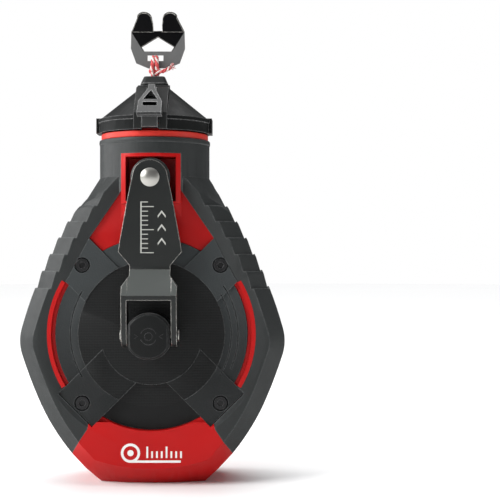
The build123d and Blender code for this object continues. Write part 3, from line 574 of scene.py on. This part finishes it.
def turned(name, profile, steps=144):
    """A ring: a closed profile of (radius, height) points carried round the upright axis."""
    profile = np.asarray(profile, float)
    turn = np.linspace(0, 2 * np.pi, steps, endpoint=False)[:, None]
    across, deep = profile[:, 0] * np.cos(turn), profile[:, 0] * np.sin(turn)
    height = np.broadcast_to(profile[:, 1], across.shape)
    points = np.stack((across, deep, height), axis=-1).reshape(-1, 3)
    faces = grid_faces(steps, len(profile), close_rows=True, close_columns=True)
    return shaped(name, points, faces)


NECK_R = 21.8
NECK_TOP = 133.9
LIP_OUT = 0.22           # how far the lip swells from the neck
LIP_IN = 0.6             # how far it reaches into the neck's wall
LIP_TALL = 2.0
LIP_HALF = 0.95          # half the height of the swelling
roll = np.linspace(-0.5 * np.pi, 0.5 * np.pi, 9)
lip = [(NECK_R - LIP_IN, NECK_TOP - LIP_TALL)]
lip += [(NECK_R + 0.02 + LIP_OUT * math.cos(turn),
         NECK_TOP - LIP_TALL / 2 + LIP_HALF * math.sin(turn)) for turn in roll]
lip += [(NECK_R - LIP_IN, NECK_TOP - 0.05)]
finish_piece(turned("neck_lip", lip), RUBBER, "housing", "black_rubber")


# ================================================================ spool, axle and wound line
# The spool is black nylon on a fixed steel axle, held by a clip. The line is wound on it in neat
# rows between the two flanges.
NYLON = moulded("black_nylon", (0.018, 0.018, 0.018), (0.028, 0.028, 0.03), 0.5, grain=1900,
                depth=0.00003)
STEEL = moulded("plain_steel", (0.46, 0.46, 0.45), (0.58, 0.57, 0.55), 0.32, grain=2600,
                depth=0.00001, metal=1.0)
dress("spool", NYLON)
for node in ("spool_axle", "axle_clip", "thrust_washer"):
    dress(node, STEEL)

winding_low, winding_high = (np.array(corner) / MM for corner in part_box("line_winding"))
WOUND_R = winding_high[0]
DRUM_R = 12.05           # inside of the winding, just clear of the spool's drum
AROUND = 180             # points round the winding
ROW_SINK = 0.75          # how far the valleys between rows lie under the outside
ROW_RISE = 0.7
row_width = 2 * LINE_R
across_rows = np.linspace(winding_low[1] + 0.1, winding_high[1] - 0.1, 150)
turn = np.linspace(0, 2 * np.pi, AROUND, endpoint=False)[:, None]
rows = np.abs(np.sin(np.pi * across_rows / row_width + 0.5 * turn))
crown = WOUND_R - ROW_SINK + ROW_RISE * rows
deep = np.broadcast_to(across_rows, crown.shape)
top = np.stack([crown * np.cos(turn), deep, crown * np.sin(turn)], axis=-1)
under_rows = across_rows[::-1][::10]
deep = np.broadcast_to(under_rows, (AROUND, len(under_rows)))
under = np.stack([DRUM_R * np.cos(turn) + 0 * under_rows, deep,
                  DRUM_R * np.sin(turn) + 0 * under_rows], axis=-1)
wound = np.concatenate([top, under], axis=1)
wound_faces = grid_faces(AROUND, wound.shape[1], close_rows=True, close_columns=True)
wound_piece = shaped("wound_line", wound.reshape(-1, 3) + AXIS, wound_faces)
stripe = np.concatenate([(np.sin(9 * turn + 4 * across_rows) > 0.35) * 1.0,
                         np.zeros((AROUND, len(under_rows)))], axis=1)
layer = wound_piece.data.attributes.new("tint", "FLOAT", "POINT")
layer.data.foreach_set("value", stripe.ravel().astype(np.float32))
finish_piece(wound_piece, YARN, "spool_body", "line_yarn", "line_winding")


# ================================================================ gears
# White planet gears run between a sun keyed into the spool and a ring fixed in the case, on a
# carrier with steel pins. Bushes hold the shafts, and a soft ring keeps the chalk out.
ACETAL = moulded("gear_acetal", (0.66, 0.64, 0.58), (0.74, 0.72, 0.66), 0.38, grain=1700,
                 depth=0.00001)
BRONZE = moulded("bronze", (0.42, 0.24, 0.09), (0.52, 0.31, 0.13), 0.34, grain=2800,
                 depth=0.00001, metal=1.0)
SEAL = moulded("seal_rubber", (0.02, 0.02, 0.02), (0.03, 0.03, 0.03), 0.6, grain=2000,
               depth=0.00003)
planets = [f"planet_gear_{number}" for number in (1, 2, 3)]
for node in ("sun_gear", *planets, "ring_gear", "planet_carrier"):
    dress(node, ACETAL)
dress("planet_pins", STEEL)
dress("crank_bushing", BRONZE)
dress("shaft_bushing", BRONZE)
dress("chalk_seal", SEAL)


# ================================================================ gear cover
# Glass-filled black plate, held over the gears by four screws. Its four arms and outer ring have a
# sparked grain, and the round middle has a fine weave cut in the mould.
DIAL_R = 28.35 * MM      # the woven round middle
WEAVE_PITCH = 0.62 * MM
VALLEY_DROP = 12.9 * MM  # from the axis down to where the lower arms' inner edges meet


def weave_group():
    """Woven micro-texture: crossed sine ribs in the round middle. Dark is one there and in the sunk
    part between the lower arms, which lies under their inner edges."""
    sizes = [("Pitch", WEAVE_PITCH), ("Radius", DIAL_R)]
    group, given, result = group_tree("dial_weave", sizes, ["Height", "Dark"])
    place = group.nodes.new("ShaderNodeTexCoord")
    parts = group.nodes.new("ShaderNodeSeparateXYZ")
    group.links.new(place.outputs["Object"], parts.inputs["Vector"])

    across, up = parts.outputs["X"], parts.outputs["Z"]
    over = math_node(group, "DIVIDE", 2 * math.pi, given.outputs["Pitch"])
    warp = math_node(group, "SINE", math_node(group, "MULTIPLY", across, over))
    weft = math_node(group, "SINE", math_node(group, "MULTIPLY", up, over))
    ribs = math_node(group, "ADD", math_node(group, "MULTIPLY", warp, 0.4), weft)
    height = math_node(group, "MULTIPLY", ribs, 0.35)
    rise = math_node(group, "SUBTRACT", up, AXIS[2] * MM)
    squares = math_node(group, "ADD", math_node(group, "MULTIPLY", rise, rise),
                        math_node(group, "MULTIPLY", across, across))
    middle = math_node(group, "LESS_THAN", math_node(group, "SQRT", squares), given.outputs["Radius"])
    off_side = math_node(group, "ABSOLUTE", across)
    below = math_node(group, "SUBTRACT", math_node(group, "MULTIPLY", rise, -1.0), off_side)
    valley = math_node(group, "GREATER_THAN", below, VALLEY_DROP)
    group.links.new(math_node(group, "MULTIPLY", height, middle), result.inputs["Height"])
    group.links.new(math_node(group, "MAXIMUM", middle, valley), result.inputs["Dark"])
    return group


WEAVE = weave_group()


def cover_finish():
    """Grained grey-black with painted shade that darkens it downward, rubbed edges that are partly a
    painted highlight, and black and woven in the middle, with painted shade in the weave's hollows.
    """
    material, tree, shader = shader_nodes("cover_plastic")
    texture = use_group(tree, GRAIN, Scale=1700.0)
    weave = use_group(tree, WEAVE)
    edges = use_group(tree, EDGES, Width=0.00035)
    place = tree.nodes.new("ShaderNodeTexCoord")
    parts = tree.nodes.new("ShaderNodeSeparateXYZ")
    rise = add(tree, "ShaderNodeMapRange", From_Min=0.040, From_Max=0.078)
    tree.links.new(place.outputs["Object"], parts.inputs["Vector"])
    tree.links.new(parts.outputs["Z"], rise.inputs["Value"])
    # Painted shade: the outer plate is painted darker towards the bottom and lighter towards the top.
    shaded_low_black, lit_high_grey = (0.010, 0.011, 0.011), (0.036, 0.041, 0.042)
    outer = blend_colours(tree, shaded_low_black, lit_high_grey, rise.outputs["Result"])
    sparked = math_node(tree, "MULTIPLY", texture.outputs["Height"], 0.25)
    speck = blend_colours(tree, outer, (0.055, 0.06, 0.062), sparked)
    # Painted shade and light: the weave's hollows are painted darker and its raised ribs lighter.
    shaded_hollow, raised = (0.005, 0.0055, 0.0055), (0.026, 0.027, 0.027)
    cloth = blend_colours(tree, shaded_hollow, raised, weave.outputs["Height"])
    colour = blend_colours(tree, speck, cloth, weave.outputs["Dark"])
    # The rubbed colour on edges is partly wear and partly a painted highlight.
    rubbed_sheen = math_node(tree, "MULTIPLY", edges.outputs["Mask"], 0.8)
    worn = blend_colours(tree, colour, (0.16, 0.165, 0.165), rubbed_sheen)
    tree.links.new(worn, shader.inputs["Base Color"])
    roughness_from(tree, shader, texture.outputs["Smudge"], 0.42, 0.56)
    both = math_node(tree, "ADD", weave.outputs["Height"], texture.outputs["Height"])
    bumped(tree, shader, both, 0.00007)
    shader.inputs["Specular IOR Level"].default_value = 0.20
    return material


COVER = cover_finish()
finish_piece(eased("gear_cover", 0.12), COVER, "housing", "cover_plastic", "gear_cover")


# ================================================================ screws
# Black steel screws with flat heads and hexagonal sockets. Four hold the cover from the front and
# four join the housing halves from behind.
# The screws' lighter rubbed rims are partly a painted highlight.
BLACK_SCREW = moulded("screw_steel", (0.004, 0.004, 0.0045), (0.008, 0.008, 0.009), 0.36, grain=3200,
                      depth=0.00001, rubbed_sheen=(0.30, 0.30, 0.30), rub_sheen=0.6, width=0.00018, shine=0.3)
finish_piece(eased("cover_screws", 0.16), BLACK_SCREW, "housing", "screw_steel", "cover_screws")
finish_piece(eased("housing_screws", 0.16), BLACK_SCREW, "housing", "screw_steel", "housing_screws")


# ================================================================ crank hub and clutch button
# Black nylon hub that carries the crank on two headed steel pins, a dog clutch on its shaft, and a
# sprung button that lifts the clutch. The button's face carries a small raised press symbol.
BUTTON = moulded("button_nylon", (0.006, 0.0065, 0.0065), (0.010, 0.011, 0.011), 0.44, grain=1800,
                 depth=0.00004, rubbed_sheen=(0.12, 0.12, 0.12), rub_sheen=0.9, width=0.0006, shine=0.14)
BRIGHT = moulded("bright_steel", (0.36, 0.355, 0.33), (0.50, 0.49, 0.46), 0.36, grain=900,
                 depth=0.00002, metal=1.0)
finish_piece(eased("crank_hub", 0.3), BUTTON, "hub", "black_plastic", "crank_hub")
finish_piece(eased("push_button", 0.35, 3), BUTTON, "button", "black_plastic", "push_button")
finish_piece(eased("hinge_pins", 0.25, 3), BRIGHT, "hub", "bright_steel", "hinge_pins")
dress("clutch_plate", STEEL)

BUTTON_FACE = -29.5
SYMBOL_RING = (2.9, 3.2)
SYMBOL_EYE = (1.3, 1.6)
ARC_TURN = 140           # degrees of each of the ring's two arcs
emboss = (BUTTON_FACE - 0.04, BUTTON_FACE + 0.05)
button_middle = (0, AXIS[2])
symbol = [ring_shape(button_middle, *SYMBOL_RING, *emboss, start, start + ARC_TURN)
          for start in (20, 200)]
symbol.append(ring_shape(button_middle, *SYMBOL_EYE, *emboss))
for side in (-1, 1):
    tips = [(5.6, 0.9), (4.2, 0.0), (5.6, -0.9), (5.3, -0.9), (3.8, 0.0), (5.3, 0.9)]
    arrow = [(side * out, AXIS[2] + up) for out, up in tips]
    symbol.append(flat_shape(arrow, *emboss))
finish_piece(plates("button_symbol", symbol), BUTTON, "button", "black_plastic")

SPRING_WIRE = 0.28
SPRING_R = 2.4
SPRING_BACK, SPRING_FRONT = -16.4, -21.6
SPRING_TURNS = 6.5
along = np.linspace(0, 1, 420)
wind = 2 * np.pi * SPRING_TURNS * along
coil = np.column_stack([SPRING_R * np.cos(wind), SPRING_BACK + (SPRING_FRONT - SPRING_BACK) * along,
                        AXIS[2] + SPRING_R * np.sin(wind)])
spring = tubes("button_coil", [strand_grid(coil, DEPTH, SPRING_WIRE)])
finish_piece(spring, STEEL, "hub", "plain_steel", "button_spring")
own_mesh(spring)


# ================================================================ crank arm and knob
# Pressed steel strip, blacked and oiled, bent over the hub, with bright edges, partly wear and partly
# painted highlight, painted light that greys it where it faces up, and a pale etched scale. A domed
# rivet holds a black knob that spins behind it.
def blacked_steel(name, dark, light, rough, painted_top_light=0.0, shine=0.3):
    """Oil-blacked sheet steel: drawn grain along its length, bright metal on its rubbed edges, partly a
    painted highlight, and painted light that makes it greyer where it faces up, as much as asked."""
    material, tree, shader = shader_nodes(name)
    texture = use_group(tree, GRAIN, Scale=3400.0)
    edges = use_group(tree, EDGES, Width=0.00040)
    place = tree.nodes.new("ShaderNodeTexCoord")
    stretch = add(tree, "ShaderNodeMapping", Scale=(1500.0, 1500.0, 90.0))
    drawn = add(tree, "ShaderNodeTexNoise", Scale=1.0, Detail=3.0)
    tree.links.new(place.outputs["Object"], stretch.inputs["Vector"])
    tree.links.new(stretch.outputs["Vector"], drawn.inputs["Vector"])
    parts = tree.nodes.new("ShaderNodeSeparateXYZ")
    # Painted light: faces that point up are painted greyer, as if lit from above.
    top_light_share = add(tree, "ShaderNodeMapRange", From_Min=0.30, From_Max=0.42, To_Max=painted_top_light)
    tree.links.new(place.outputs["Normal"], parts.inputs["Vector"])
    tree.links.new(parts.outputs["Z"], top_light_share.inputs["Value"])
    black = blend_colours(tree, dark, light, texture.outputs["Tone"])
    top_lit = blend_colours(tree, black, (0.085, 0.092, 0.088), top_light_share.outputs["Result"])
    # Bright rubbed edges: partly wear, partly a painted highlight.
    worn = blend_colours(tree, top_lit, (0.75, 0.73, 0.68), edges.outputs["Mask"])
    tree.links.new(worn, shader.inputs["Base Color"])
    tree.links.new(edges.outputs["Mask"], shader.inputs["Metallic"])
    roughness_from(tree, shader, texture.outputs["Smudge"], rough - 0.05, rough + 0.06)
    bumped(tree, shader, drawn.outputs["Fac"], 0.000012)
    shader.inputs["Specular IOR Level"].default_value = shine
    return material


BLACK_STEEL = blacked_steel("black_steel", (0.009, 0.010, 0.010), (0.016, 0.018, 0.017), 0.36,
                            painted_top_light=0.9)
finish_piece(eased("crank_arm", 0.28, 3, sharp=24), BLACK_STEEL, "arm", "black_steel", "crank_arm")
finish_piece(eased("knob_rivet", 0.12), BRIGHT, "arm", "bright_steel", "knob_rivet")
KNOB = moulded("knob_nylon", (0.012, 0.013, 0.013), (0.020, 0.021, 0.021), 0.42, grain=1600,
               depth=0.00003, rubbed_sheen=(0.14, 0.14, 0.14), rub_sheen=0.7, width=0.0005, shine=0.4)
finish_piece(eased("crank_knob", 0.4, 3), KNOB, "knob", "black_plastic", "crank_knob")

PLATE_FACE = -23.3
SCALE_LOW = 89.5
SCALE_PITCH = 1.75
SCALE_TICKS = 12
SCALE_WIDE = 0.35        # width of an etched line
SCALE_LEFT = -3.1
CHEVRONS = 3
CHEVRON_LOW = 92.5
CHEVRON_PITCH = 5.2
CHEVRON_WIDE = 0.9
etch = (PLATE_FACE - 0.02, PLATE_FACE + 0.05)
scale_top = SCALE_LOW + (SCALE_TICKS - 1) * SCALE_PITCH + SCALE_WIDE
scale_mark = [flat_shape(bar(SCALE_LEFT - 0.5, SCALE_LOW, SCALE_LEFT, scale_top), *etch)]
for number in range(SCALE_TICKS):
    long = 4.6 if number % 5 == 0 else 2.4
    low = SCALE_LOW + number * SCALE_PITCH
    tick = bar(SCALE_LEFT, low, SCALE_LEFT + long, low + SCALE_WIDE)
    scale_mark.append(flat_shape(tick, *etch))
for number in range(CHEVRONS):
    low = CHEVRON_LOW + CHEVRON_PITCH * number
    under = [(3.0, low), (4.5, low + 2.0), (6.0, low)]
    over = [(x, z + CHEVRON_WIDE) for x, z in reversed(under)]
    scale_mark.append(flat_shape(under + over, *etch))
ETCH = moulded("etched_steel", (0.40, 0.41, 0.38), (0.52, 0.52, 0.49), 0.45, grain=3600,
               depth=0.00002, metal=0.2)
finish_piece(plates("crank_scale", scale_mark), ETCH, "arm", "black_steel")


# ================================================================ fill door
# Black acetal cone that caps the fill mouth. It hinges at the back on a steel pin, clamps a red
# rubber ring on the neck, and has a hard nose and a felt wiper for the line.
GASKET = moulded("gasket_rubber", (0.56, 0.020, 0.012), (0.66, 0.034, 0.020), 0.44, grain=1500,
                 depth=0.00002, shine=0.35)


def strip_group():
    """Mask of an upright strip: one above Level where the side distance from Middle is under Half
    plus Slope times the height over Level."""
    sizes = [("Middle", 0.0), ("Half", 0.0063), ("Slope", 0.0), ("Level", 0.0)]
    group, given, result = group_tree("tapered_strip", sizes, ["Mask"])
    place = group.nodes.new("ShaderNodeTexCoord")
    parts = group.nodes.new("ShaderNodeSeparateXYZ")
    group.links.new(place.outputs["Object"], parts.inputs["Vector"])

    up, level = parts.outputs["Z"], given.outputs["Level"]
    over = math_node(group, "SUBTRACT", up, level)
    off_middle = math_node(group, "SUBTRACT", parts.outputs["X"], given.outputs["Middle"])
    aside = math_node(group, "ABSOLUTE", off_middle)
    widened = math_node(group, "MULTIPLY", over, given.outputs["Slope"])
    reach = math_node(group, "ADD", given.outputs["Half"], widened)
    inside = math_node(group, "LESS_THAN", aside, reach)
    higher = math_node(group, "GREATER_THAN", up, level)
    group.links.new(math_node(group, "MULTIPLY", inside, higher), result.inputs["Mask"])
    return group


STRIP = strip_group()


def striped(material, lighter, amount, outside=False, **strip):
    """Blend a finish by an amount towards another colour inside a strip, or outside it."""
    tree = material.node_tree
    shader = tree.nodes["Principled BSDF"]
    wire = shader.inputs["Base Color"].links[0]
    mask = use_group(tree, STRIP, **strip).outputs["Mask"]
    if outside:
        mask = math_node(tree, "SUBTRACT", 1.0, mask)
    share = math_node(tree, "MULTIPLY", mask, amount)
    colour = blend_colours(tree, wire.from_socket, lighter, share)
    tree.links.new(colour, shader.inputs["Base Color"])


# The door's rubbed edges are partly wear and partly a painted highlight.
DOOR = moulded("door_acetal", (0.004, 0.0045, 0.0045), (0.008, 0.009, 0.009), 0.50, grain=1800,
               depth=0.00002, rubbed_sheen=(0.22, 0.22, 0.22), rub_sheen=1.0, width=0.0004, shine=0.10)
# Painted light: the door's front column is painted lighter than the cone, where it catches more light.
striped(DOOR, (0.060, 0.062, 0.061), 0.22, Half=0.0063)
LATCH = moulded("latch_acetal", (0.016, 0.017, 0.017), (0.026, 0.027, 0.027), 0.42, grain=1800,
                depth=0.00002, rubbed_sheen=(0.34, 0.34, 0.34), rub_sheen=1.0, width=0.0005, shine=0.36)
FELT = moulded("wiper_felt", (0.55, 0.50, 0.46), (0.70, 0.66, 0.60), 0.85, grain=2600, depth=0.0001)
finish_piece(eased("neck_seal", 0.5, 3), GASKET, "housing", "seal_rubber", "neck_seal")
finish_piece(eased("fill_door", 0.3), DOOR, "door", "black_plastic", "fill_door")
finish_piece(eased("line_guide", 0.35, 3), LATCH, "door", "black_plastic", "line_guide")
dress("wiper_felt", FELT)
dress("door_hinge_pin", STEEL)
dress("latch_pin", STEEL)


# ================================================================ door latch
# Black plastic lever that turns on a pin through the door's front column. It is pierced by a
# triangle and a slot, and has a lip for the finger that lifts it.
finish_piece(eased("door_latch", 0.22), LATCH, "latch", "black_plastic", "door_latch")


# ================================================================ hook
# Blacked steel plate tied to the line's end through a slot. It has a window for a nail head, and two
# prongs bent forward to catch an edge. Beside and below the window the black is painted grey as
# painted light, where the plate faces the light, and the prongs and the face inside stay black.
HOOK_STEEL = blacked_steel("hook_steel", (0.002, 0.002, 0.0025), (0.003, 0.003, 0.0035), 0.50,
                           shine=0.06)
# Painted light: outside the tapered strip the plate is painted grey where it catches the light.
striped(HOOK_STEEL, (0.15, 0.15, 0.15), 0.9, outside=True,
        Middle=0.0012, Half=0.0058, Slope=0.62, Level=0.1700)
finish_piece(eased("line_hook", 0.2, 3), HOOK_STEEL, "hook", "black_steel", "line_hook")
